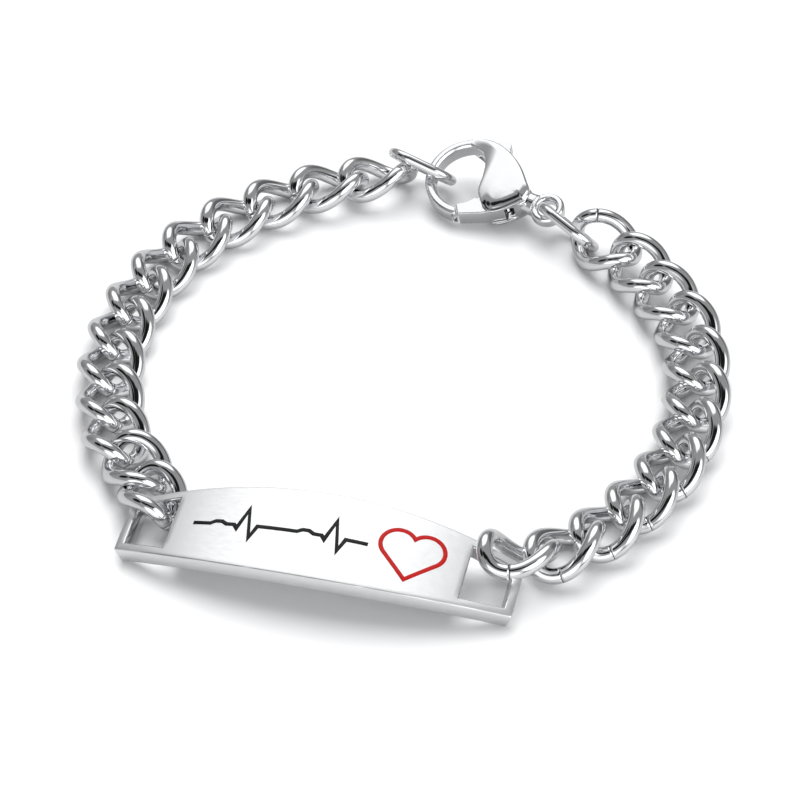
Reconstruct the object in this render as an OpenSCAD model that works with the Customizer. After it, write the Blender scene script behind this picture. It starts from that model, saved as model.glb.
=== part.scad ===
// Medical alert bracelet lying closed on a table.
// Millimetres. +Z is up, the plate lies along X at the near side (-Y),
// and the lobster clasp lies at the far side (+Y).

/* [Plate] */
// Length of the plate over its arch's chord
plate_len = 45; // [41:0.5:48]
// Width of the plate at its middle
plate_w = 12; // [11:0.5:14]
// Width of the plate at its two ends
plate_end_w = 7.2; // [6.8:0.1:9]
// Thickness of the plate
plate_t = 2; // [1.6:0.1:2.2]
// Rise of the plate's arch over its chord
plate_rise = 4; // [3.6:0.1:5]
// Bar left at each end, outside the slot
bar_w = 1.1; // [0.9:0.1:1.3]
// Length of each slot along the plate
slot_len = 5; // [4.6:0.1:6]
// Rail left at each long side of a slot
rail_w = 1.1; // [1:0.05:1.2]
// Roll of the resting plate, its far edge up
plate_roll = 4.5; // [4:0.5:5]

/* [Chain] */
// Diameter of the curb links' wire
wire_d = 1.8; // [1.6:0.05:1.9]
// Width of a curb link over its wire
link_w = 8.1; // [7.9:0.1:8.6]
// Twist of a curb link from one nose to the other
link_twist = 98; // [90:1:104]
// Play between two nested link noses
link_play = 0.6; // [0.5:0.05:0.7]
// Stretch of the left chain, tighter links near the plate
left_ease = 0.03; // [0:0.01:0.05]
// Diameter of the slim oval links' wire
slim_d = 1.3; // [1.1:0.05:1.4]
// Length of a slim oval link over its wire
slim_len = 9.4; // [9:0.1:9.8]
// Width of a slim oval link over its wire
slim_w = 6.4; // [6:0.1:6.8]

/* [Clasp] */
// Outer radius of the claw's round head
claw_r = 5.7; // [5.4:0.1:6]
// Width of the hook's band seen from above
hook_band = 1.2; // [1:0.1:1.4]
// Height of the hook's band
hook_h = 2.4; // [2:0.1:2.8]
// Thickness of the domed body at its middle
body_h = 4.2; // [3.8:0.1:4.6]
// Thickness of the domed body at its rim
rim_h = 3; // [2.8:0.1:3.4]
// Distance from the head's centre to the eye's centre
eye_reach = 11.1; // [10.8:0.1:11.6]
// Outer diameter of the eye
eye_d = 4.3; // [4.1:0.1:4.8]
// Hole of the eye
eye_hole = 2.3; // [2:0.1:2.5]
// Height of the eye
eye_h = 1.6; // [1.2:0.1:2]
// Diameter of the collar between the body and the eye
collar_d = 2.8; // [2.4:0.1:3.2]
// Length of the collar
collar_len = 0.9; // [0.6:0.1:1.2]
// Thickness of the lever in the body's slot
lever_t = 1.3; // [1.1:0.1:1.5]
// Clearance between the lever and the body's halves
lever_gap = 0.15; // [0.12:0.01:0.2]
// Radius of the thumb tab
tab_r = 1; // [0.8:0.1:1.1]
// Reach of the thumb tab past the claw's head
tab_out = 1.1; // [0.9:0.1:1.4]
// Diameter of the clasp's cross pin
pin_d = 1; // [0.8:0.05:1.1]
// Radial clearance of the lever on the pin
pin_gap = 0.04; // [0.03:0.01:0.06]

/* [Lie] */
// Turn of the clasp on the table
clasp_turn = 162; // [160:1:164]
// Tilt of the clasp, its far side up
clasp_tilt = 20; // [19:1:22]

/* [Hidden] */
$fn = 48;

// Middle of the plate on the table
plate_x = -1.6;
plate_y = -32.7;
// Its left and its right end
plate_west = plate_x - plate_len / 2;
plate_east = plate_x + plate_len / 2;
// Middle of the claw's round head on the table, and its eye
clasp_x = 0.5;
clasp_y = 33;
eye_x = clasp_x - eye_reach * cos(clasp_turn);
eye_y = clasp_y - eye_reach * sin(clasp_turn);

// Arch of the plate: radius of its upper face and half of its angle
arch_r = (pow(plate_len / 2, 2) + pow(plate_rise, 2)) / (2 * plate_rise);
arch_a = asin(plate_len / 2 / arch_r);
// Radius of the long sides seen from above
side_s = (plate_w - plate_end_w) / 2;
side_r = (pow(plate_len / 2, 2) + pow(side_s, 2)) / (2 * side_s);
// Angles of the slot's outer and inner edge
slot_a_out = arch_a - bar_w / arch_r * 180 / PI;
slot_a_in = slot_a_out - slot_len / arch_r * 180 / PI;
// Half width of the plate at a distance from its middle
function half_w(x) = plate_w / 2 - side_r + sqrt(side_r * side_r - x * x);
// Reach of the slot's inner edge from the plate's middle
slot_in = arch_r * sin(slot_a_in);

// Left chain from the second link to the clasp:
// x, y, lift over the table, roll, pitch, turn off the route
left_route = [
  [plate_west - 1.3, -23.8, 0, 2, 0, 3],
  [-29.3, -19.5, 0, 1, 0, 0],
  [-33.6, -8.2, 0, 0, 0, 0],
  [-34, 4.4, 0, 0, 0, 0],
  [-30.1, 16.4, 0, 0, 0, 0],
  [-21.8, 26.1, 0, -4, 0, 0],
  [clasp_x - 17.1, clasp_y - 3.5, 0, -9, 0, 0],
  [clasp_x - 11.9, clasp_y - 0.8, 0, -15, 0, 0]
];
// Right chain from the clasp to the last link but one, same columns
right_route = [
  [eye_x + 7.9433, eye_y - 4.2699, 0, 28, 0, 4],
  [eye_x + 12.9433, eye_y - 7.9699, 0, 24, 0, -2],
  [31.6, 12.2, 0, 17, 0, -2],
  [34.6, 0.2, 0, 10, 0, -2],
  [33.3, -11.4, 0, 9, 0, 0],
  [28.5, -21.1, 0, 12, 2, 3],
  [plate_east + 3.7, -25.6, 0.1, 15, 4, 0]
];
// Links round the plate's far rails: x, y, z, roll, pitch, heading
left_end = [plate_west + 2, -28, 2.4, 13, 4, 122];
right_end = [plate_east - 1, -28.8, 3.7, 21, -22, -142];
// Slim ovals in the claw and in the eye, same columns
claw_link_at = [clasp_x - 6.5, clasp_y + 1, 3.8, -46, 16, -8];
eye_link_at = [eye_x + 3.0433, eye_y - 2.1699, 3, -49, 14, -28];

LEFT_N = 13;
RIGHT_N = 12;
STEPS = 12;

function catmull(a, b, c, d, t) =
  0.5 * (2 * b + (c - a) * t + (2 * a - 5 * b + 4 * c - d) * t * t
  + (3 * b - a - 3 * c + d) * t * t * t);
function at(r, i) = i < 0 ? 2 * r[0] - r[1]
  : i >= len(r) ? 2 * r[len(r) - 1] - r[len(r) - 2] : r[i];
function curve(r) = [
  for (i = [0 : len(r) - 2])
    for (k = [0 : STEPS - (i == len(r) - 2 ? 0 : 1)])
      catmull(at(r, i - 1), at(r, i), at(r, i + 1), at(r, i + 2), k / STEPS)
];
function flat_gap(a, b) = norm([a[0] - b[0], a[1] - b[1]]);
function sums(c, i = 0, s = 0) = i >= len(c) - 1 ? [s]
  : concat([s], sums(c, i + 1, s + flat_gap(c[i], c[i + 1])));
function column(c, s, k) = [for (i = [0 : len(c) - 1]) [s[i], c[i][k]]];

left_c = curve(left_route);
left_s = sums(left_c);
left_t = [for (k = [0 : 5]) column(left_c, left_s, k)];
left_pitch = left_s[len(left_s) - 1] / (LEFT_N - 2);
right_c = curve(right_route);
right_s = sums(right_c);
right_t = [for (k = [0 : 5]) column(right_c, right_s, k)];
right_pitch = right_s[len(right_s) - 1] / (RIGHT_N - 2);

// Half length and half width of a curb link on its wire's centre line
link_a = (max(left_pitch, right_pitch) + wire_d + link_play) / 2;
link_b = (link_w - wire_d) / 2;

RINGS = 16;
SIDES = 6;
function wire_p(t) = [
  link_a * cos(t),
  link_b * sin(t) * cos(link_twist / 2 * cos(t)),
  -link_b * sin(t) * sin(link_twist / 2 * cos(t))
];
function unit(v) = v / norm(v);
function ring(t, r) =
  let (
    p = wire_p(t),
    u = unit(wire_p(t + 1) - wire_p(t - 1)),
    n = unit(cross(u, cross(p, u))),
    b = cross(u, n)
  )
  [for (k = [0 : SIDES - 1]) p + r * (cos(360 * k / SIDES) * n + sin(360 * k / SIDES) * b)];

// One curb link along X, centred on the origin
module curb_link() {
  pts = [for (i = [0 : RINGS - 1]) each ring(360 * i / RINGS, wire_d / 2)];
  faces = [
    for (i = [0 : RINGS - 1])
      for (k = [0 : SIDES - 1])
        let (
          a = i * SIDES + k,
          b = i * SIDES + (k + 1) % SIDES,
          c = ((i + 1) % RINGS) * SIDES + (k + 1) % SIDES,
          d = ((i + 1) % RINGS) * SIDES + k
        )
        each [[a, c, b], [a, d, c]]
  ];
  polyhedron(points = pts, faces = faces, convexity = 4);
}

// Height of a link's middle when its lowest point touches the table
function rest_z(roll, pitch) = wire_d / 2 - min([
  for (i = [0 : RINGS - 1])
    let (p = wire_p(360 * i / RINGS))
    cos(pitch) * (sin(roll) * p[1] + cos(roll) * p[2]) - sin(pitch) * p[0]
]);

// One link of a chain, at its share of the route's length
module chain_link(t, s, span) {
  a = max(0, s - 1);
  b = min(span, s + 1);
  dx = lookup(b, t[0]) - lookup(a, t[0]);
  dy = lookup(b, t[1]) - lookup(a, t[1]);
  roll = lookup(s, t[3]);
  pitch = lookup(s, t[4]);
  translate([lookup(s, t[0]), lookup(s, t[1]), rest_z(roll, pitch) + lookup(s, t[2])])
    rotate([roll, pitch, atan2(dy, dx) + lookup(s, t[5])])
      curb_link();
}
module end_link(p) {
  translate([p[0], p[1], p[2]])
    rotate([p[3], p[4], p[5]])
      curb_link();
}
module left_link(n) {
  k = (n - 2) / (LEFT_N - 2);
  color("silver")
    if (n == 1)
      end_link(left_end);
    else
      chain_link(left_t, (LEFT_N - 2) * left_pitch * k * (1 + left_ease * (k - 1)), (LEFT_N - 2) * left_pitch);
}
module right_link(n) {
  color("silver")
    if (n == RIGHT_N)
      end_link(right_end);
    else
      chain_link(right_t, (n - 1) * right_pitch, (RIGHT_N - 2) * right_pitch);
}

// One slim oval link along X, centred on the origin
module slim_link() {
  r = (slim_w - slim_d) / 2;
  s = (slim_len - slim_w) / 2;
  for (m = [0, 180])
    rotate([0, 0, m]) {
      translate([s, 0, 0])
        rotate([0, 0, -90])
          rotate_extrude(angle = 180)
            translate([r, 0])
              circle(d = slim_d);
      translate([-s, r, 0])
        rotate([0, 90, 0])
          cylinder(d = slim_d, h = 2 * s);
    }
}

module slim_link_at(p) {
  translate([p[0], p[1], p[2]])
    rotate([p[3], p[4], p[5]])
      slim_link();
}

// Slot through the plate on its +X side, cut along the arch's radius
module slot_cut() {
  mid_a = (slot_a_out + slot_a_in) / 2;
  h_in = half_w(arch_r * sin(slot_a_in)) - rail_w;
  h_out = half_w(arch_r * sin(slot_a_out)) - rail_w;
  rotate([0, mid_a, 0])
    translate([0, 0, arch_r - plate_t - 1])
      linear_extrude(height = plate_t + 2)
        polygon([
          [-slot_len / 2, -h_in],
          [slot_len / 2, -h_out],
          [slot_len / 2, h_out],
          [-slot_len / 2, h_in]
        ]);
}

module id_plate() {
  color("gainsboro")
    translate([plate_x, plate_y, plate_end_w / 2 * sin(plate_roll)])
      rotate([plate_roll, 0, 0])
        translate([0, 0, (plate_t - arch_r) * cos(arch_a)])
          difference() {
            intersection() {
              rotate([90, 0, 0])
                cylinder(r = arch_r, h = 2 * plate_w, center = true, $fn = 288);
              rotate([90, 0, 0])
                linear_extrude(height = 2 * plate_w, center = true)
                  polygon([
                    [0, 0],
                    [2 * arch_r * sin(arch_a), 2 * arch_r * cos(arch_a)],
                    [-2 * arch_r * sin(arch_a), 2 * arch_r * cos(arch_a)]
                  ]);
              for_sides();
            }
            rotate([90, 0, 0])
              cylinder(r = arch_r - plate_t, h = 3 * plate_w, center = true, $fn = 288);
            slot_cut();
            mirror([1, 0, 0])
              slot_cut();
          }
}

// The two bowed long sides as one upright lens
module for_sides() {
  intersection() {
    translate([0, side_r - plate_w / 2, 0])
      cylinder(r = side_r, h = 2 * arch_r, $fn = 288);
    translate([0, plate_w / 2 - side_r, 0])
      cylinder(r = side_r, h = 2 * arch_r, $fn = 288);
  }
}

// The clasp's own frame: +X to the hook, +Y to the gate, +Z off its face
module clasp_frame() {
  low = claw_r * sin(clasp_tilt) + rim_h / 2 * cos(clasp_tilt);
  translate([clasp_x, clasp_y, low])
    rotate([0, 0, clasp_turn])
      rotate([-clasp_tilt, 0, 0])
        children();
}

in_r = claw_r - hook_band;
eye_wall = (eye_d - eye_hole) / 2;
neck_x = eye_reach - eye_d / 2 - collar_len;
slot_h = lever_t + 2 * lever_gap;
pivot = [-0.9 * claw_r, 0.18 * claw_r];
tab_at = [-0.3 * claw_r, -claw_r - tab_out + tab_r];
// Seam between the hook's tip and the gate's nose: its inner end and its slant
seam_at = [-0.05 * claw_r, in_r - 0.1];
seam_a = 38;
// Far end of the opening's slanting edge and that edge's slant
edge_x = -0.22 * claw_r;
edge_a = 20;
// Near rim of the dome, cut back so that the gate can turn in
rim_line = [[-0.2 * claw_r, 0.15 * claw_r], [-0.62 * claw_r, 0.24 * claw_r], [-1.14 * claw_r, 0.36 * claw_r]];
// Inner and outer edge of the gate, shares of the claw's radius
gate_in = [[-0.25, 0.62], [-0.38, 0.44], [-1.08, 0.43]];
gate_out = [[-1.13, 0.45], [-1.06, 0.5], [-0.7, 0.74], [-0.245, 0.95]];
arm_r = 1.5;

// Outline of the domed body seen from above, from its head to its neck
module body_outline() {
  h = collar_d / 2 - 0.2;
  a = acos((claw_r - h) / neck_x);
  circle(r = claw_r, $fn = 96);
  polygon([
    [-0.97 * claw_r * cos(a), 0.97 * claw_r * sin(a)],
    [-neck_x - h * cos(a) + 0.2, h * sin(a)],
    [-neck_x - h * cos(a) + 0.2, -h * sin(a)],
    [-0.97 * claw_r * cos(a), -0.97 * claw_r * sin(a)]
  ]);
}

// Low dome above and below, thick at its middle and thin towards its rim
DOME_SHARES = [0, 0.4, 0.75, 1, 1.4];
module lens() {
  s = (body_h - rim_h) / 2;
  up = [for (q = DOME_SHARES) [q * claw_r, body_h / 2 - s * q * q]];
  down = [for (i = [len(DOME_SHARES) - 1 : -1 : 0]) [up[i][0], -up[i][1]]];
  translate([-claw_r / 3, 0, 0])
    rotate_extrude($fn = 96)
      polygon(concat(up, down));
}

// Hook's band from the body's far side round to its tip
module hook() {
  difference() {
    rotate([0, 0, -100])
      rotate_extrude(angle = 200, $fn = 96)
        translate([in_r + hook_band / 2, 0])
          chamfered(hook_band, hook_h, 0.25 * hook_band);
    translate([seam_at[0], seam_at[1], -hook_h])
      rotate([0, 0, seam_a])
        translate([-claw_r, -claw_r, 0])
          cube([claw_r, 2 * claw_r, 2 * hook_h]);
  }
}

// Rectangle about the origin with its four corners cut
module chamfered(w, h, c) {
  polygon([
    [-w / 2 + c, -h / 2], [w / 2 - c, -h / 2], [w / 2, -h / 2 + c], [w / 2, h / 2 - c],
    [w / 2 - c, h / 2], [-w / 2 + c, h / 2], [-w / 2, h / 2 - c], [-w / 2, -h / 2 + c]
  ]);
}

module dome() {
  difference() {
    intersection() {
      translate([0, 0, -body_h])
        linear_extrude(height = 2 * body_h)
          body_outline();
      lens();
    }
    // Everything on the hook's side of the body's slanting edge
    rotate([0, 0, edge_a])
      translate([edge_x, -3 * claw_r, -body_h])
        cube([4 * claw_r, 6 * claw_r, 2 * body_h]);
    // Room of the gate beside the dome's near rim
    translate([0, 0, -body_h])
      linear_extrude(height = 2 * body_h)
        polygon(concat(rim_line, [[-1.14 * claw_r, 2 * claw_r], [claw_r, 2 * claw_r], [claw_r, 0.15 * claw_r]]));
  }
}

module clasp_body() {
  color("silver")
    clasp_frame()
      difference() {
        union() {
          dome();
          hook();
          translate([-neck_x - collar_len - eye_wall / 2, 0, 0])
            rotate([0, 90, 0])
              cylinder(d = collar_d, h = collar_len + eye_wall / 2 + 0.4);
          translate([-eye_reach, 0, 0])
            rotate_extrude()
              translate([(eye_d + eye_hole) / 4, 0])
                chamfered(eye_wall, eye_h, 0.25 * eye_wall);
        }
        // Slot of the lever between the body's two halves
        translate([0, 0, -slot_h / 2])
          linear_extrude(height = slot_h)
            polygon([
              [-neck_x + 0.8, 2 * claw_r],
              [-neck_x + 0.8, -0.1 * claw_r],
              [-1.12 * claw_r, -0.35 * claw_r],
              [-1.12 * claw_r, -2 * claw_r],
              [-0.07 * claw_r, -2 * claw_r],
              [-0.07 * claw_r, 2 * claw_r]
            ]);
        translate([pivot[0], pivot[1], 0])
          cylinder(r = pin_d / 2 + pin_gap, h = 0.75 * body_h, center = true);
        translate([-eye_reach, 0, 0])
          cylinder(d = eye_hole, h = 2 * body_h, center = true);
      }
}

module clasp_lever() {
  s = [-cos(seam_a), -sin(seam_a)] * lever_gap;
  n = [sin(seam_a), -cos(seam_a)];
  color("lightgray")
    clasp_frame()
      difference() {
        union() {
          // Gate, as high as the hook
          translate([0, 0, -hook_h / 2])
            linear_extrude(height = hook_h)
              polygon(concat(
                [seam_at + s - 1.3 * hook_band * n, seam_at + s],
                claw_r * gate_in,
                claw_r * gate_out
              ));
          // Thin arm through the body's slot
          translate([0, 0, -lever_t / 2])
            linear_extrude(height = lever_t)
              polygon([
                claw_r * gate_in[1],
                [-0.5 * claw_r, 0.6 * claw_r],
                [-1.1 * claw_r, 0.46 * claw_r],
                [pivot[0] - 0.9 * arm_r, pivot[1] - 0.4 * arm_r],
                [tab_at[0] - tab_r, tab_at[1]],
                [tab_at[0] + tab_r, tab_at[1]],
                [-0.48 * claw_r, -0.1 * claw_r]
              ]);
          translate([pivot[0], pivot[1], -lever_t / 2])
            cylinder(r = arm_r, h = lever_t);
          translate([tab_at[0], tab_at[1], -lever_t / 2])
            cylinder(r = tab_r, h = lever_t);
        }
        translate([pivot[0], pivot[1], 0])
          cylinder(r = pin_d / 2 + pin_gap, h = 2 * hook_h, center = true);
      }
}

module clasp_pin() {
  color("darkgray")
    clasp_frame()
      translate([pivot[0], pivot[1], 0])
        cylinder(d = pin_d, h = 0.75 * body_h - 2 * pin_gap, center = true);
}

module link_l14() {
  color("silver")
    slim_link_at(claw_link_at);
}

module clasp_link() {
  color("silver")
    slim_link_at(eye_link_at);
}

id_plate();
left_link(1);  // link_l01
left_link(2);  // link_l02
left_link(3);  // link_l03
left_link(4);  // link_l04
left_link(5);  // link_l05
left_link(6);  // link_l06
left_link(7);  // link_l07
left_link(8);  // link_l08
left_link(9);  // link_l09
left_link(10);  // link_l10
left_link(11);  // link_l11
left_link(12);  // link_l12
left_link(13);  // link_l13
link_l14();
right_link(1);  // link_r01
right_link(2);  // link_r02
right_link(3);  // link_r03
right_link(4);  // link_r04
right_link(5);  // link_r05
right_link(6);  // link_r06
right_link(7);  // link_r07
right_link(8);  // link_r08
right_link(9);  // link_r09
right_link(10);  // link_r10
right_link(11);  // link_r11
right_link(12);  // link_r12
clasp_link();
clasp_body();
clasp_lever();
clasp_pin();
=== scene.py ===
"""Medical alert bracelet lying closed on a pale table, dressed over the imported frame."""

from __future__ import annotations

import logging
import math
from bisect import bisect_right
from collections.abc import Callable, Iterable
from dataclasses import dataclass, field
from enum import Enum

import bpy
from mathutils import Euler, Matrix, Vector

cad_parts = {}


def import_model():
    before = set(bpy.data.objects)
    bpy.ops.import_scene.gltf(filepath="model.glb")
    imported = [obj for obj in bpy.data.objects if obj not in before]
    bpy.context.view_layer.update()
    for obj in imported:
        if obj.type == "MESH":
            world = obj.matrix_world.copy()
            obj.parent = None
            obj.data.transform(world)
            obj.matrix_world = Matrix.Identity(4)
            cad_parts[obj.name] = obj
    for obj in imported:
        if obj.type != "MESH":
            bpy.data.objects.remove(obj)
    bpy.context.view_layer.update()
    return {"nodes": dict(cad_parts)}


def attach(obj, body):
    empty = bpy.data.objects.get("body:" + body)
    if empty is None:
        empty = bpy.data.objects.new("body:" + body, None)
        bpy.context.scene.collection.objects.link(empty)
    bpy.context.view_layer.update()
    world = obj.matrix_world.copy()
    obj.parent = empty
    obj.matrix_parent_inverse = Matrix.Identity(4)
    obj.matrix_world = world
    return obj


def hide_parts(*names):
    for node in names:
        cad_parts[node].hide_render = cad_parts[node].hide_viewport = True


LOG = logging.getLogger("bracelet")
MM = 0.001
BRACELET = "bracelet"
LEVER = "lever"
MERGE_GAP = 1e-7  # farthest that doubles lie apart, in metres
FINE_GRAIN = 4.0  # detail of the noise in patches and enamel
LINE_GRAIN = 3.0  # detail of the noise in polishing lines
CLOUD_GRAIN = 2.0  # detail of the noise in the table's clouds
SMOOTHING = 0.5  # how far a smoothing pass moves a vertex

Piece = bpy.types.Object
Material = bpy.types.Material
Socket = bpy.types.NodeSocket
Feeds = dict[str | int, object]
Colour = tuple[float, float, float]
Corners = tuple[tuple[float, float], ...]
Points = list[tuple[float, float]]


class Chain(Enum):
    """Side of the bracelet that a curb link belongs to."""

    LEFT = "l"
    RIGHT = "r"


class Slot(Enum):
    """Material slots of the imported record."""

    STEEL = "steel"
    PLATE = "plate_steel"


class LinkFinish(Enum):
    """Order of a curb link's materials."""

    WIRE = 0
    # The seam's groove, coloured near-black as painted shade.
    SEAM = 1


class PlateFinish(Enum):
    """Order of the plate's materials."""

    FACE = 0
    # The sides, in rougher buffed steel whose paler tint paints them brighter.
    EDGE = 1
    SLOT_WALL = 2


# Finishes


class Nodes:
    """Shader nodes of one material, or of the room round the table."""

    def __init__(self, owner: Material | bpy.types.World) -> None:
        """Starts on the nodes that Blender gives the owner."""
        owner.use_nodes = True
        self.tree = owner.node_tree

    def feed(self, node: bpy.types.Node, sockets: Feeds) -> None:
        """Sets or links some inputs of a node.

        Args:
            node: The node.
            sockets: Value or feeding socket of each of these inputs.
        """
        for key, value in sockets.items():
            if isinstance(value, Socket):
                self.tree.links.new(value, node.inputs[key])
            else:
                node.inputs[key].default_value = value

    def add(self, kind: str, sockets: Feeds, **settings: str) -> bpy.types.Node:
        """Adds a node.

        Args:
            kind: Blender's type name of the node, after its ShaderNode.
            sockets: Value or feeding socket of its inputs.
            **settings: Its properties.

        Returns:
            The node.
        """
        node = self.tree.nodes.new("ShaderNode" + kind)
        for key, value in settings.items():
            setattr(node, key, value)
        self.feed(node, sockets)
        return node

    def noise(self, vector: Socket, scale: float, detail: float) -> Socket:
        """Noise over a vector, from 0 to 1."""
        node = self.add("TexNoise", {"Vector": vector, "Scale": scale, "Detail": detail})
        return node.outputs["Fac"]

    def blend(self, share: Socket, a: Colour | Socket, b: Colour | Socket) -> Socket:
        """Colour that goes from a to b with a share."""
        a, b = (c if isinstance(c, Socket) else (*c, 1.0) for c in (a, b))
        node = self.add("Mix", {"Factor": share, "A": a, "B": b}, data_type="RGBA")
        return node.outputs["Result"]

    def spread(self, value: Socket, low: float, high: float, start: float, end: float) -> Socket:
        """Level that goes from low to high while a value goes from start to end."""
        spans = {"From Min": start, "From Max": end, "To Min": low, "To Max": high}
        return self.add("MapRange", {"Value": value, **spans}).outputs["Result"]

    def bump(self, height: Socket, strength: float, depth_mm: float) -> Socket:
        """Normal of a surface with a fine relief."""
        relief = {"Height": height, "Strength": strength, "Distance": depth_mm * MM}
        return self.add("Bump", relief).outputs["Normal"]


class Finish:
    """What the finishes share: a material with a name, put together from nodes."""

    name: str

    def sockets(self, nodes: Nodes, place: Socket) -> Feeds:
        """What goes into the shader.

        Args:
            nodes: Nodes of the new material.
            place: Object coordinates of the piece.

        Returns:
            Value or feeding socket of the shader's inputs.
        """
        raise NotImplementedError

    def build(self) -> Material:
        """Makes the node material."""
        mat = bpy.data.materials.new(self.name)
        nodes = Nodes(mat)
        place = nodes.add("TexCoord", {}).outputs["Object"]
        nodes.feed(nodes.tree.nodes["Principled BSDF"], self.sockets(nodes, place))
        return mat


@dataclass(frozen=True)
class SteelFinish(Finish):
    """Stainless steel, from a mirror polish to a satin brushed along X.

    Attributes:
        name: Material name.
        tint: Linear colour of the clean metal.
        dull: Linear colour of its slightly greyer patches.
        rough: Lowest and highest roughness.
        patch_mm: Size of the greyer patches.
        line_mm: Spacing of the polishing lines along X, Y and Z.
        line_depth_mm: Depth of the polishing lines.
        line_strength: Weight of the lines in the normal.
        line_span: Levels of the lines between which the roughness changes.
    """

    name: str
    tint: Colour
    dull: Colour
    rough: tuple[float, float]
    patch_mm: float
    line_mm: tuple[float, float, float]
    line_depth_mm: float
    line_strength: float
    line_span: tuple[float, float] = (0.3, 0.7)

    def sockets(self, nodes: Nodes, place: Socket) -> Feeds:
        """Patchy metal with polishing lines."""
        patches = nodes.noise(place, 1 / (self.patch_mm * MM), FINE_GRAIN)
        scale = [1 / (s * MM) for s in self.line_mm]
        stretch = nodes.add("Mapping", {"Vector": place, "Scale": scale}).outputs["Vector"]
        lines = nodes.noise(stretch, 1.0, LINE_GRAIN)
        return {
            "Metallic": 1.0,
            "Base Color": nodes.blend(patches, self.tint, self.dull),
            "Roughness": nodes.spread(lines, *self.rough, *self.line_span),
            "Normal": nodes.bump(lines, self.line_strength, self.line_depth_mm),
        }


@dataclass(frozen=True)
class EnamelFinish(Finish):
    """Fired enamel in an engraved line: glossy, a little uneven in colour.

    Attributes:
        name: Material name.
        deep: Linear colour where the enamel is thick.
        thin: Linear colour where it is thin.
        rough: Lowest and highest roughness.
        gloss: Level of its reflection.
        flow_mm: Size of its uneven spots.
        flow_depth_mm: Depth of its uneven spots.
        flow_strength: Weight of the spots in the normal.
    """

    name: str
    deep: Colour
    thin: Colour
    rough: tuple[float, float] = (0.24, 0.36)
    gloss: float = 0.2
    flow_mm: float = 0.6
    flow_depth_mm: float = 0.02
    flow_strength: float = 0.15

    def sockets(self, nodes: Nodes, place: Socket) -> Feeds:
        """Glossy enamel that has flowed a little unevenly."""
        flow = nodes.noise(place, 1 / (self.flow_mm * MM), FINE_GRAIN)
        return {
            "Specular IOR Level": self.gloss,
            "Base Color": nodes.blend(flow, self.deep, self.thin),
            "Roughness": nodes.spread(flow, *self.rough, 0.0, 1.0),
            "Normal": nodes.bump(flow, self.flow_strength, self.flow_depth_mm),
        }


@dataclass(frozen=True)
class TableFinish(Finish):
    """Pale lacquered table top with a faint reflection.

    Attributes:
        name: Material name.
        tint: Linear colour.
        cloudy: Linear colour of its slightly darker clouds.
        mirrored: Linear colour that the metal picks up from it.
        rough: Roughness of the lacquer.
        clouds: Clouds over a metre.
    """

    name: str
    tint: Colour
    cloudy: Colour
    mirrored: Colour
    rough: float
    clouds: float = 6.0

    def sockets(self, nodes: Nodes, place: Socket) -> Feeds:
        """Lacquer that the camera sees paler than the metal does."""
        shown = nodes.blend(nodes.noise(place, self.clouds, CLOUD_GRAIN), self.tint, self.cloudy)
        seen = nodes.add("LightPath", {}).outputs["Is Camera Ray"]
        return {
            "Base Color": nodes.blend(seen, self.mirrored, shown),
            "Roughness": self.rough,
        }


@dataclass
class Finishes:
    """Materials that more than one sub-assembly wears.

    Attributes:
        polished: Mirror-polished steel.
        cast: Tumbled steel of the cast clasp.
        seam: Near-black steel at the bottom of a butt seam, painted shade in its groove.
    """

    polished: Material
    cast: Material
    seam: Material


POLISHED = SteelFinish(
    name="polished_steel",
    tint=(0.86, 0.865, 0.875),
    dull=(0.78, 0.785, 0.8),
    rough=(0.035, 0.07),
    patch_mm=2.5,
    line_mm=(0.5, 0.12, 0.12),
    line_depth_mm=0.002,
    line_strength=0.12,
)
SATIN = SteelFinish(
    name="satin_steel",
    tint=(0.94, 0.94, 0.945),
    dull=(0.9, 0.905, 0.91),
    rough=(0.3, 0.42),
    patch_mm=6.0,
    line_mm=(9.0, 0.12, 0.12),
    line_depth_mm=0.003,
    line_strength=0.15,
)
# Partly painted light: the plate's sides are rougher buffed steel, and their tint is set paler than
# the face's to paint them brighter.
EDGE = SteelFinish(
    name="buffed_edge_painted_bright_steel",
    tint=(0.97, 0.972, 0.975),
    dull=(0.93, 0.935, 0.94),
    rough=(0.3, 0.4),
    patch_mm=3.0,
    line_mm=(9.0, 0.35, 0.16),
    line_depth_mm=0.003,
    line_strength=0.12,
)
CAST = SteelFinish(
    name="tumbled_cast_steel",
    tint=(0.86, 0.865, 0.875),
    dull=(0.8, 0.805, 0.82),
    rough=(0.08, 0.13),
    patch_mm=2.0,
    line_mm=(0.4, 0.4, 0.4),
    line_depth_mm=0.002,
    line_strength=0.1,
)
# Painted shade: the butt seam's groove is coloured near-black in place of the shade that falls in
# it.
SEAM = SteelFinish(
    name="butt_seam_painted_shade",
    tint=(0.1, 0.1, 0.105),
    dull=(0.03, 0.03, 0.032),
    rough=(0.5, 0.7),
    patch_mm=0.2,
    line_mm=(0.1, 0.1, 0.1),
    line_depth_mm=0.01,
    line_strength=0.5,
)
BLACK_ENAMEL = EnamelFinish("black_enamel", (0.002, 0.002, 0.0025), (0.008, 0.008, 0.009))
RED_ENAMEL = EnamelFinish("red_enamel", (0.36, 0.003, 0.003), (0.48, 0.008, 0.006))
TABLE_TOP = TableFinish(
    name="pale_table",
    tint=(0.93, 0.93, 0.935),
    cloudy=(0.916, 0.916, 0.921),
    mirrored=(0.6, 0.6, 0.605),
    rough=0.32,
)


# Bench: small steps used by every sub-assembly


@dataclass(frozen=True)
class Edging:
    """How the edges of a thickened sheet are rounded and shaded.

    Attributes:
        width: Width of a rounded edge.
        steps: Faces over its width.
        corner: Least angle of an edge that is rounded, in degrees.
        crease: Angle past which the shading breaks, in degrees.
    """

    width: float
    steps: int
    corner: float
    crease: float


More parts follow.
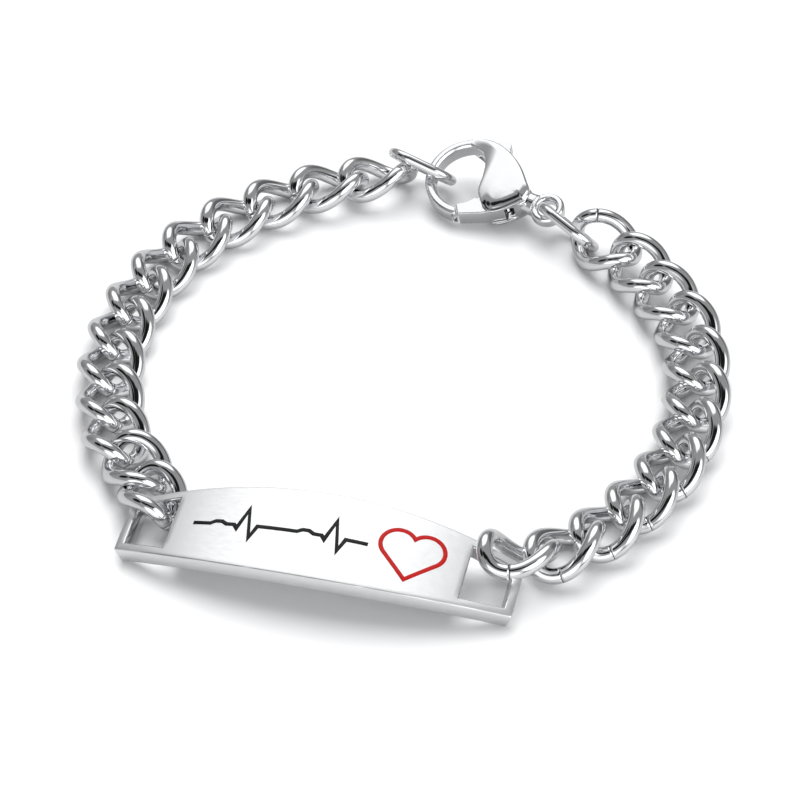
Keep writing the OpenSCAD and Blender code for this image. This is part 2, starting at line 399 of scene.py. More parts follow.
class Bench:
    """Selecting, editing and finishing one piece at a time."""

    @staticmethod
    def leave() -> None:
        """Leaves edit mode."""
        bpy.ops.object.mode_set(mode="OBJECT")

    @staticmethod
    def clear() -> None:
        """Leaves edit mode and deselects everything."""
        if bpy.context.object and bpy.context.object.mode != "OBJECT":
            Bench.leave()
        bpy.ops.object.select_all(action="DESELECT")

    @staticmethod
    def pick(obj: Piece) -> None:
        """Makes obj the only selected and active object."""
        Bench.clear()
        obj.select_set(True)
        bpy.context.view_layer.objects.active = obj

    @staticmethod
    def select(obj: Piece, test: Callable[[Vector], bool] = lambda co: True) -> None:
        """Selects the vertices that pass a test and stays in edit mode.

        Args:
            obj: Mesh object to edit.
            test: Says whether a vertex at this place is wanted.
        """
        Bench.pick(obj)
        bpy.ops.object.mode_set(mode="EDIT")
        bpy.ops.mesh.select_mode(type="VERT")
        bpy.ops.mesh.select_all(action="DESELECT")
        Bench.leave()
        for v in obj.data.vertices:
            v.select = test(v.co)
        bpy.ops.object.mode_set(mode="EDIT")

    @staticmethod
    def apply(obj: Piece, kind: str, **settings: object) -> None:
        """Adds one modifier with its settings and applies it.

        Args:
            obj: Object to change.
            kind: Blender's type name of the modifier.
            **settings: Its properties.
        """
        Bench.pick(obj)
        mod = obj.modifiers.new(kind.lower(), kind)
        for key, value in settings.items():
            setattr(mod, key, value)
        bpy.ops.object.modifier_apply(modifier=mod.name)

    @staticmethod
    def wire(obj: Piece, diameter: float, resolution: int) -> Piece:
        """Turns a closed loop of edges into a solid round wire.

        Args:
            obj: Mesh loop without faces.
            diameter: Diameter of the wire in millimetres.
            resolution: Bevel resolution of its round section.

        Returns:
            The wire.
        """
        Bench.pick(obj)
        bpy.ops.object.convert(target="CURVE")
        curve = bpy.context.object.data
        curve.bevel_depth = diameter / 2 * MM
        curve.bevel_resolution = resolution
        bpy.ops.object.convert(target="MESH")
        bpy.ops.object.shade_smooth()
        return bpy.context.object

    @staticmethod
    def merge(obj: Piece) -> None:
        """Merges a mesh's doubles."""
        Bench.select(obj)
        bpy.ops.mesh.remove_doubles(threshold=MERGE_GAP)
        Bench.leave()

    @staticmethod
    def outwards(obj: Piece) -> None:
        """Merges a mesh's doubles and turns its faces outwards."""
        Bench.merge(obj)
        Bench.select(obj)
        bpy.ops.mesh.normals_make_consistent(inside=False)
        Bench.leave()

    @staticmethod
    def prism(points: Points, low: float, high: float) -> Piece:
        """Straight-walled solid over a polygon.

        Args:
            points: Corners in millimetres.
            low: Height of its floor.
            high: Height of its top.

        Returns:
            The solid.
        """
        Bench.clear()
        bpy.ops.mesh.primitive_circle_add(vertices=len(points), radius=MM, fill_type="NGON")
        solid = bpy.context.object
        for v, (x, y) in zip(solid.data.vertices, points):
            v.co = Vector((x, y, low)) * MM
        Bench.select(solid)
        up = (0, 0, (high - low) * MM)
        bpy.ops.mesh.extrude_region_move(TRANSFORM_OT_translate={"value": up})
        Bench.leave()
        Bench.outwards(solid)
        return solid

    @staticmethod
    def sheet(columns: int, rows: int, point: Callable[[int, int], Vector]) -> Piece:
        """Lays a grid whose vertices are put in place one by one.

        Args:
            columns: Faces along it.
            rows: Faces across it.
            point: Gives the place of the vertex in a column and a row.

        Returns:
            The sheet.
        """
        Bench.clear()
        bpy.ops.mesh.primitive_grid_add(x_subdivisions=columns, y_subdivisions=rows, size=2)
        sheet = bpy.context.object
        for v in sheet.data.vertices:
            v.co = point(round((v.co.x + 1) / 2 * columns), round((v.co.y + 1) / 2 * rows))
        return sheet

    @staticmethod
    def thicken(sheet: Piece, thick: float, even: bool, edging: Edging, place: Matrix) -> None:
        """Thickens a sheet downwards, rounds its edges and sets it down.

        Args:
            sheet: Sheet with its face up.
            thick: Thickness in millimetres.
            even: Whether the thickness is kept round corners.
            edging: How the edges are rounded and shaded.
            place: Where the piece goes.
        """
        Bench.apply(sheet, "SOLIDIFY", thickness=thick * MM, offset=-1.0, use_even_offset=even)
        Bench.apply(sheet, "BEVEL", width=edging.width * MM, segments=edging.steps,
                    limit_method="ANGLE", angle_limit=math.radians(edging.corner))
        Bench.set_down(sheet, place)
        bpy.ops.object.shade_smooth_by_angle(angle=math.radians(edging.crease))

    @staticmethod
    def set_down(obj: Piece, place: Matrix) -> None:
        """Moves a piece to its place and keeps the place in its mesh."""
        obj.matrix_world = place
        Bench.pick(obj)
        bpy.ops.object.transform_apply(location=True, rotation=True, scale=True)

    @staticmethod
    def copy_to(master: Piece, name: str, place: Matrix) -> Piece:
        """Copies a master with its own mesh and applies the copy's place.

        Args:
            master: Piece at the origin.
            name: Name of the copy.
            place: Where the copy goes.

        Returns:
            The copy, with its place in its mesh.
        """
        Bench.pick(master)
        bpy.ops.object.duplicate()
        made = bpy.context.object
        made.name = made.data.name = name
        Bench.set_down(made, place)
        return made

    @staticmethod
    def discard(obj: Piece) -> None:
        """Deletes a master or a cutter that isn't part of the object."""
        Bench.pick(obj)
        bpy.ops.object.delete()

    @staticmethod
    def finish(obj: Piece, body: str, slot: Slot, *nodes: str) -> None:
        """Lets a piece ride on its body and stand for its CAD nodes.

        Args:
            obj: Finished piece.
            body: Body that carries it.
            slot: Record slot of its finish; not used.
            *nodes: CAD nodes that it replaces.
        """
        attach(obj, body)
        if nodes:
            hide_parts(*nodes)
        LOG.info("%s: %d faces on %s", obj.name, len(obj.data.polygons), body)


def turned(place: tuple[float, ...], turn: tuple[float, ...]) -> Matrix:
    """Place and turn of a part.

    Args:
        place: x, y and z in millimetres.
        turn: Turns about X, Y and Z in degrees, made in that order.

    Returns:
        The matrix in metres.
    """
    angles = Euler([math.radians(a) for a in turn], "XYZ")
    return Matrix.Translation(Vector(place) * MM) @ angles.to_matrix().to_4x4()


# Chain


@dataclass
class Route:
    """Smooth line through some points, such as the middles of one chain's links.

    Attributes:
        points: x, y and, for a chain, lift, roll, pitch and turn off the route at each point.
        steps: Parts that each span is measured in.
        line: Points along the line.
        along: Distance of each of them from the start.
    """

    points: list[tuple[float, ...]]
    steps: int = 12
    line: list[tuple[float, ...]] = field(init=False)
    along: list[float] = field(init=False)

    def __post_init__(self) -> None:
        """Samples the line and adds up its length."""
        self.line = self._sample()
        self.along = [0.0]
        for a, b in zip(self.line, self.line[1:]):
            self.along.append(self.along[-1] + math.dist(a[:2], b[:2]))

    @property
    def length(self) -> float:
        """Whole length of the route."""
        return self.along[-1]

    def _sample(self) -> list[tuple[float, ...]]:
        """Points of the Catmull-Rom curve through the route, with one more point past each end."""
        p = self.points
        first = tuple(2 * a - b for a, b in zip(p[0], p[1]))
        last = tuple(2 * a - b for a, b in zip(p[-1], p[-2]))
        run = [first, *p, last]
        out = []
        for four in zip(run, run[1:], run[2:], run[3:]):
            for k in range(self.steps):
                t = k / self.steps
                out.append(tuple(
                    0.5 * (2 * b + (c - a) * t + (2 * a - 5 * b + 4 * c - d) * t * t
                           + (3 * b - a - 3 * c + d) * t ** 3)
                    for a, b, c, d in zip(*four)
                ))
        return out + [tuple(p[-1])]

    def value(self, s: float, column: int) -> float:
        """One column's value at a distance along the route."""
        s = min(max(s, 0.0), self.length)
        i = min(bisect_right(self.along, s), len(self.along) - 1)
        a, b = self.along[i - 1], self.along[i]
        t = (s - a) / (b - a)
        return self.line[i - 1][column] * (1 - t) + self.line[i][column] * t

    def heading(self, s: float) -> float:
        """Direction of the route in degrees, with the link's own turn added."""
        a, b = max(0.0, s - 1), min(self.length, s + 1)
        dx = self.value(b, 0) - self.value(a, 0)
        dy = self.value(b, 1) - self.value(a, 1)
        return math.degrees(math.atan2(dy, dx)) + self.value(s, 5)


@dataclass(frozen=True)
class Strand:
    """Curb links of one side, numbered from the plate on the left, from the clasp on the right.

    Attributes:
        chain: Side of the bracelet.
        count: Number of links.
        seam_t: Place of the butt seam on a link's loop, in degrees.
        end_n: Number of the link round the plate's rail.
        end: Place and turn of that link.
        route: Line of the other links' middles.
        ease: Stretch of the line towards its end.
        flipped: Numbers of the links that were threaded the other way round.
    """

    chain: Chain
    count: int
    seam_t: float
    end_n: int
    end: tuple[float, ...]
    route: Route
    ease: float = 0.0
    flipped: tuple[int, ...] = ()

    @property
    def pitch(self) -> float:
        """Distance between two links' middles."""
        return self.route.length / (self.count - 2)


LEFT_STRAND = Strand(
    chain=Chain.LEFT,
    count=13,
    seam_t=188.0,
    end_n=1,
    end=(-22.1, -28, 2.4, 13, 4, 122),
    route=Route([
        (-25.4, -23.8, 0, 2, 0, 3),
        (-29.3, -19.5, 0, 1, 0, 0),
        (-33.6, -8.2, 0, 0, 0, 0),
        (-34, 4.4, 0, 0, 0, 0),
        (-30.1, 16.4, 0, 0, 0, 0),
        (-21.8, 26.1, 0, -4, 0, 0),
        (-16.6, 29.5, 0, -9, 0, 0),
        (-11.4, 32.2, 0, -15, 0, 0),
    ]),
    ease=0.03,
)
RIGHT_STRAND = Strand(
    chain=Chain.RIGHT,
    count=12,
    seam_t=55.0,
    end_n=12,
    end=(19.9, -28.8, 3.7, 21, -22, -142),
    route=Route([
        (19, 25.3, 0, 28, 0, 4),
        (24, 21.6, 0, 24, 0, -2),
        (31.6, 12.2, 0, 17, 0, -2),
        (34.6, 0.2, 0, 10, 0, -2),
        (33.3, -11.4, 0, 9, 0, 0),
        (28.5, -21.1, 0, 12, 2, 3),
        (24.6, -25.6, 0.1, 15, 4, 0),
    ]),
    flipped=(1,),
)


@dataclass
class CurbChain:
    """Both chains of twisted curb links.

    Attributes:
        finishes: Shared materials.
        strands: The two sides.
        wire_d: Diameter of the wire.
        link_w: Width of a link over its wire.
        twist: Twist from one nose to the other, in degrees.
        play: Play between two nested noses.
        rings: Sections along the wire of one link.
        round_res: Bevel resolution of the wire.
        touch_steps: Points of a link's loop that may touch the table.
        seam_w: Width of the seam's groove.
        seam_depth: Depth of the seam's groove.
        seam_steps: Faces over the seam's groove.
        seam_reach: How far round its middle the seam is looked for, in wire diameters.
        seam_slack: How far along the wire its ring of vertices is looked for.
    """

    finishes: Finishes
    strands: tuple[Strand, ...] = (LEFT_STRAND, RIGHT_STRAND)
    wire_d: float = 1.8
    link_w: float = 8.1
    twist: float = 98.0
    play: float = 0.6
    rings: int = 96
    round_res: int = 10
    touch_steps: int = 16
    seam_w: float = 0.09
    seam_depth: float = 0.1
    seam_steps: int = 2
    seam_reach: float = 0.6
    seam_slack: float = 0.02

    @property
    def half_length(self) -> float:
        """Half length of a link on its wire's centre line, from the longer pitch."""
        return (max(strand.pitch for strand in self.strands) + self.wire_d + self.play) / 2

    @property
    def half_width(self) -> float:
        """Half width of a link on its wire's centre line."""
        return (self.link_w - self.wire_d) / 2

    def wire_at(self, t: float) -> Vector:
        """Point of the wire's centre line in millimetres, t in degrees round the loop."""
        c, s = math.cos(math.radians(t)), math.sin(math.radians(t))
        turn = math.radians(self.twist / 2 * c)
        b = self.half_width * s
        return Vector((self.half_length * c, b * math.cos(turn), -b * math.sin(turn)))

    def rest_height(self, roll: float, pitch: float) -> float:
        """Height of a link's middle when it touches the table."""
        r, p = math.radians(roll), math.radians(pitch)
        low = min(
            math.cos(p) * (math.sin(r) * q.y + math.cos(r) * q.z) - math.sin(p) * q.x
            for q in (self.wire_at(360 * i / self.touch_steps) for i in range(self.touch_steps))
        )
        return self.wire_d / 2 - low

    def place(self, strand: Strand, n: int) -> Matrix:
        """Where link n of a side lies.

        Args:
            strand: Side of the bracelet.
            n: Link's number.

        Returns:
            The link's place in metres.
        """
        if n == strand.end_n:
            return turned(strand.end[:3], strand.end[3:])
        k = (n - 2 if strand.end_n == 1 else n - 1) / (strand.count - 2)
        s = strand.route.length * k * (1 + strand.ease * (k - 1))
        x, y, lift, roll, pitch = (strand.route.value(s, column) for column in range(5))
        place = turned((x, y, self.rest_height(roll, pitch) + lift),
                       (roll, pitch, strand.route.heading(s)))
        return place @ Matrix.Rotation(math.pi, 4, "Y") if n in strand.flipped else place

    def model_link(self, seam_t: float) -> Piece:
        """Models one link: a ring drawn out, twisted, given its wire and its butt seam.

        Args:
            seam_t: Place of the butt seam on the link's loop, in degrees.

        Returns:
            The link along X about the origin.
        """
        Bench.clear()
        bpy.ops.mesh.primitive_circle_add(vertices=self.rings, radius=MM, fill_type="NOTHING")
        link = bpy.context.object
        Bench.select(link)
        bpy.ops.transform.resize(value=(self.half_length, self.half_width, 1))
        Bench.leave()
        Bench.apply(link, "SIMPLE_DEFORM", deform_method="TWIST", deform_axis="X",
                    angle=math.radians(-self.twist))
        link = Bench.wire(link, self.wire_d, self.round_res)
        link.data.materials.append(self.finishes.polished)
        # Second material: the near-black painted shade of the seam's groove.
        link.data.materials.append(self.finishes.seam)
        self._cut_seam(link, seam_t)
        return link

    def _cut_seam(self, link: Piece, seam_t: float) -> None:
        """Cuts the groove where the wire's two ends meet and colours it with near-black painted
        shade.

        Args:
            link: Wire mesh at the origin.
            seam_t: Place of the seam on the link's loop, in degrees.
        """
        step = 360 / self.rings
        t = round(seam_t / step) * step
        middle = self.wire_at(t) * MM
        along = (self.wire_at(t + 1) - self.wire_at(t - 1)).normalized()

        def near(co: Vector, slack: float) -> bool:
            """Whether a point lies on the wire within a slack of the seam's middle."""
            off = (co - middle) / MM
            return off.length < self.seam_reach * self.wire_d and abs(off.dot(along)) < slack

        Bench.select(link, lambda co: near(co, self.seam_slack))
        bpy.ops.mesh.select_mode(type="EDGE")
        bpy.ops.mesh.bevel(offset=self.seam_w / 2 * MM, segments=self.seam_steps)
        Bench.leave()
        Bench.select(link, lambda co: near(co, self.seam_slack))
        bpy.ops.transform.shrink_fatten(value=-self.seam_depth * MM)
        Bench.leave()
        Bench.pick(link)
        bpy.ops.object.shade_smooth()
        # Faces in the seam's groove take the near-black painted shade.
        for face in link.data.polygons:
            if near(face.center, self.seam_w / 2):
                face.material_index = LinkFinish.SEAM.value

    def build(self) -> None:
        """Lays out and dresses every curb link."""
        for strand in self.strands:
            master = self.model_link(strand.seam_t)
            for n in range(1, strand.count + 1):
                number = f"{strand.chain.value}{n:02d}"
                link = Bench.copy_to(master, f"curb_{number}", self.place(strand, n))
                Bench.finish(link, BRACELET, Slot.STEEL, f"link_{number}")
            Bench.discard(master)


@dataclass
class SlimLinks:
    """The two slim oval links beside the clasp.

    Attributes:
        finishes: Shared materials.
        wire_d: Diameter of the wire.
        length: Length of a link over its wire.
        width: Width of a link over its wire.
        rings: Sections along the wire of one link.
        round_res: Bevel resolution of the wire.
        places: Place and turn of each link, by its node.
    """

    finishes: Finishes
    wire_d: float = 1.3
    length: float = 9.4
    width: float = 6.4
    rings: int = 72
    round_res: int = 8
    places: dict[str, tuple[float, ...]] = field(default_factory=lambda: {
        "link_l14": (-6, 34, 3.8, -46, 16, -8),
        "clasp_link": (14.1, 27.4, 3, -49, 14, -28),
    })

    def model_link(self) -> Piece:
        """Models one link: a ring whose two halves are drawn apart.

        Returns:
            The link along X about the origin.
        """
        Bench.clear()
        radius = (self.width - self.wire_d) / 2 * MM
        half_step = math.pi / self.rings
        bpy.ops.mesh.primitive_circle_add(
            vertices=self.rings, radius=radius, fill_type="NOTHING", rotation=(0, 0, half_step))
        link = bpy.context.object
        bpy.ops.object.transform_apply(rotation=True)
        drawn = (self.length - self.width) / 2 * MM
        for side in (-1, 1):
            Bench.select(link, lambda co: co.x * side > 0)
            bpy.ops.transform.translate(value=(side * drawn, 0, 0))
            Bench.leave()
        link = Bench.wire(link, self.wire_d, self.round_res)
        link.data.materials.append(self.finishes.polished)
        return link

    def build(self) -> None:
        """Lays out and dresses both links."""
        master = self.model_link()
        for node, p in self.places.items():
            link = Bench.copy_to(master, f"slim_{node}", turned(p[:3], p[3:]))
            Bench.finish(link, BRACELET, Slot.STEEL, node)
        Bench.discard(master)


# Plate


@dataclass
class IdentityPlate:
    """Arched plate with a slot at each end and enamelled marks on its face.

    Attributes:
        finishes: Shared materials.
        length: Length over the arch's chord.
        width: Width at the middle.
        end_w: Width at the two ends.
        thick: Thickness.
        rise: Rise of the arch over its chord.
        bar_w: Bar outside each slot.
        slot_len: Length of each slot.
        rail_w: Rail at each long side of a slot.
        roll: Roll on the table, far edge up, in degrees.
        middle: x and y of the plate's middle.
        edging: Its buffed edges.
        face_turn: Least cosine between the satin face and the arch's radius.
        columns: Columns of the face from the middle to a slot, over the slot and over the bar.
        rows: Rows of the face across the plate.
        slack: How far off a slot's rim a vertex may lie and still count as on it.
    """

    finishes: Finishes
    length: float = 45.0
    width: float = 12.0
    end_w: float = 7.2
    thick: float = 2.0
    rise: float = 4.0
    bar_w: float = 1.1
    slot_len: float = 5.0
    rail_w: float = 1.1
    roll: float = 4.5
    middle: tuple[float, float] = (-1.6, -32.7)
    edging: Edging = Edging(width=0.16, steps=3, corner=50.0, crease=30.0)
    face_turn: float = 0.985
    columns: tuple[int, int, int] = (24, 8, 2)
    rows: int = 11
    slack: float = 1e-4

    @property
    def arch_r(self) -> float:
        """Radius of the upper face."""
        return ((self.length / 2) ** 2 + self.rise ** 2) / (2 * self.rise)

    @property
    def arch_a(self) -> float:
        """Half of the arch's angle in radians."""
        return math.asin(self.length / 2 / self.arch_r)

    @property
    def slot_span(self) -> tuple[float, float]:
        """Distances along the arch where a slot starts and ends."""
        outer = self.arch_a * self.arch_r - self.bar_w
        return outer - self.slot_len, outer

    def half_w(self, x: float) -> float:
        """Half width at a distance from the plate's middle."""
        bow = (self.width - self.end_w) / 2
        r = ((self.length / 2) ** 2 + bow ** 2) / (2 * bow)
        return self.width / 2 - r + math.sqrt(r * r - x * x)

    def half_at(self, s: float) -> float:
        """Half width at a distance along the arch."""
        return self.half_w(self.arch_r * math.sin(s / self.arch_r))

    def slot_half(self, s: float) -> float:
        """Half width of a slot, or of the face between the rails' lines, along the arch."""
        inner, outer = self.slot_span
        if not inner <= abs(s) <= outer:
            return self.half_at(s) - self.rail_w
        low, high = self.half_at(inner), self.half_at(outer)
        return low + (high - low) * (abs(s) - inner) / self.slot_len - self.rail_w

    def place(self) -> Matrix:
        """Where the plate's arch axis stands."""
        low = self.end_w / 2 * math.sin(math.radians(self.roll))
        sunk = (self.thick - self.arch_r) * math.cos(self.arch_a) * MM
        return turned((*self.middle, low), (self.roll, 0, 0)) @ Matrix.Translation((0, 0, sunk))

    def on_face(self, along: float, across: float, above: float = 0.0) -> Vector:
        """Point of the upper face in the plate's own frame, in metres.

        Args:
            along: Distance from the middle along the arch.
            across: Distance towards the far edge.
            above: Height over the face.

        Returns:
            The point, before the plate is placed.
        """
        a, r = along / self.arch_r, self.arch_r + above
        return Vector((r * math.sin(a), across, r * math.cos(a))) * MM

    def _stations(self) -> list[float]:
        """Distances along the arch of the face's columns."""
        half, start = [0.0], 0.0
        for end, count in zip((*self.slot_span, self.arch_a * self.arch_r), self.columns):
            half += [start + (end - start) * i / count for i in range(1, count + 1)]
            start = end
        return [-h for h in reversed(half[1:])] + half

    def model(self) -> Piece:
        """Models the plate: a grid laid on the arch, its slots opened, thickened and eased.

        Returns:
            The plate in place.
        """
        stations = self._stations()
        plate = Bench.sheet(
            len(stations) - 1, self.rows,
            lambda i, row: self.on_face(stations[i], self._across(stations[i])[row]))
        for side in (-1, 1):
            Bench.select(plate, lambda co: self._in_slot(co, side))
            bpy.ops.mesh.select_mode(type="FACE")
            bpy.ops.mesh.delete(type="ONLY_FACE")
            Bench.leave()
        Bench.select(plate)
        bpy.ops.mesh.delete_loose(use_verts=True, use_edges=True, use_faces=False)
        Bench.leave()
        Bench.thicken(plate, self.thick, True, self.edging, self.place())
        return plate

    def _across(self, s: float) -> list[float]:
        """Distances of the rows from the plate's middle line, two of them on each rail."""
        edge, rail = self.half_at(s), self.slot_half(s)
        far = [rail, (rail + edge) / 2, edge]
        inside = self.rows - 4
        core = [rail * (2 * i / inside - 1) for i in range(1, inside)]
        return [-f for f in reversed(far)] + core + far

    def _in_slot(self, co: Vector, side: int) -> bool:
        """Whether a point of the face lies in or on the rim of the slot at one side."""
        s = math.atan2(co.x, co.z) * self.arch_r * side
        inner, outer = self.slot_span
        if not inner - self.slack <= s <= outer + self.slack:
            return False
        return abs(co.y / MM) <= self.slot_half(s) + self.slack

    def dress(self, plate: Piece) -> None:
        """Satin on the upper face, polish in the slots, buffed steel with a paler tint that paints
        them brighter on the other sides.
        """
        for mat in (SATIN.build(), EDGE.build(), self.finishes.polished):
            plate.data.materials.append(mat)
        back = self.place().inverted()
        inner, outer = self.slot_span
        edge = self.edging.width
        for face in plate.data.polygons:
            spot = back @ face.center
            out = Vector((spot.x, 0.0, spot.z)).normalized()
            up = out.dot(back.to_3x3() @ face.normal)
            far = abs(math.atan2(spot.x, spot.z)) * self.arch_r
            wall = self.half_w(spot.x / MM) - self.rail_w + edge
            # Sides take the buffed steel whose paler tint is painted brightening.
            part = PlateFinish.EDGE
            if up > self.face_turn:
                part = PlateFinish.FACE
            elif inner - edge < far < outer + edge and abs(spot.y) / MM < wall:
                part = PlateFinish.SLOT_WALL
            face.material_index = part.value

    def build(self) -> None:
        """Builds the plate and its marks."""
        plate = self.model()
        self.dress(plate)
        plate.name = plate.data.name = "identity_plate"
        Bench.finish(plate, BRACELET, Slot.PLATE, "id_plate")
        PulseLine(self).build("pulse_line", BLACK_ENAMEL)
        HeartMark(self).build("heart_outline", RED_ENAMEL)


@dataclass
class EnamelStrip:
    """Line of enamel laid on the plate's face.

    Attributes:
        plate: Plate that carries it.
        width: Width of the line.
        proud: Height of the enamel over the face.
        sunk: Depth of the enamel under the face.
        edging: Its rounded edges.
        mitre: Least cosine that still lengthens a mitred corner.
        closed: Whether the line returns to its start.
    """

    plate: IdentityPlate
    width: float = 0.5
    proud: float = 0.03
    sunk: float = 0.1
    edging: Edging = Edging(width=0.02, steps=2, corner=60.0, crease=35.0)
    mitre: float = 0.35
    closed: bool = False

    def outline(self) -> Points:
        """Middle of the line: distances along and across the plate."""
        raise NotImplementedError

    def _offset(self, pts: Points, side: float) -> Points:
        """The line moved sideways, with mitred corners.

        Args:
            pts: Middle of the line.
            side: Distance to the left of it.

        Returns:
            The moved points.
        """
        out, n = [], len(pts)
        for i in range(n):
            before = pts[i - 1] if i or self.closed else pts[i]
            after = pts[(i + 1) % n] if i < n - 1 or self.closed else pts[i]
            here = Vector(pts[i])
            a = (here - Vector(before)) if before != pts[i] else (Vector(after) - here)
            b = (Vector(after) - here) if after != pts[i] else a
            na = Vector((-a.y, a.x)).normalized()
            nb = Vector((-b.y, b.x)).normalized()
            mid = (na + nb).normalized()
            out.append(tuple(here + mid * side / max(mid.dot(na), self.mitre)))
        return out

    def model(self) -> Piece:
        """Models the strip: a grid laid along the line, thickened and eased.

        Returns:
            The strip in place.
        """
        pts = self.outline()
        left, right = self._offset(pts, self.width / 2), self._offset(pts, -self.width / 2)
        strip = Bench.sheet(
            len(pts) if self.closed else len(pts) - 1, 1,
            lambda i, row: self.plate.on_face(*(right, left)[row][i % len(pts)], self.proud))
        Bench.merge(strip)
        Bench.thicken(strip, self.proud + self.sunk, False, self.edging, self.plate.place())
        return strip

    def build(self, name: str, finish: EnamelFinish) -> None:
        """Builds and dresses the strip.

        Args:
            name: Name of the piece.
            finish: Its enamel.
        """
        strip = self.model()
        strip.name = strip.data.name = name
        strip.data.materials.append(finish.build())
        Bench.finish(strip, BRACELET, Slot.PLATE)


@dataclass
class PulseLine(EnamelStrip):
    """Plain pulse trace, some beats long.

    Attributes:
        start: Distance of its left end from the plate's middle.
        beat: Length of one beat.
        beats: Number of beats.
        trace: Corners of one beat: share of its length, and height.
    """

    start: float = -14.2
    beat: float = 10.0
    beats: int = 2
    trace: Corners = (
        (0.0, 0.0), (0.2, 0.0), (0.26, 0.35), (0.33, 0.35), (0.39, 0.0), (0.48, 0.0),
        (0.52, -0.5), (0.6, 2.3), (0.69, -1.7), (0.75, 0.0), (0.85, 0.0), (1.0, 0.0),
    )

    def outline(self) -> Points:
        """Corners of the trace, each beat's start being the end of the one before."""
        beats = [(k + u, v) for k in range(self.beats) for u, v in self.trace[k > 0:]]
        return [(self.start + u * self.beat, v) for u, v in beats]


@dataclass
class HeartMark(EnamelStrip):
    """Heart outline.

    Attributes:
        along: Distance of its middle from the plate's middle.
        size: Half width of the outline.
        shoulder: Distance of a lobe's centre from the middle, as a share of the lobe's radius.
        lift: Height of the lobes' centres.
        tip: Depth of the tip.
        steps: Parts of each lobe's arc.
    """

    along: float = 10.6
    size: float = 3.6
    shoulder: float = 0.8
    lift: float = 1.0
    tip: float = 3.4
    steps: int = 24
    closed: bool = True

    def outline(self) -> Points:
        """Points of the outline: tip, right side and lobe, dip, left lobe and side."""
        r = self.size / (1 + self.shoulder)
        c = r * self.shoulder
        far = math.hypot(c, self.lift + self.tip)
        side = math.atan2(self.lift + self.tip, c) - math.asin(r / far)
        first, last = side - math.pi / 2, math.pi - math.acos(self.shoulder)
        lobe = [first + (last - first) * i / self.steps for i in range(self.steps + 1)]
        right = [(c + r * math.cos(t), self.lift + r * math.sin(t)) for t in lobe]
        left = [(-x, y) for x, y in reversed(right[:-1])]
        return [(self.along + x, y) for x, y in [(0.0, -self.tip)] + right + left]


# Clasp


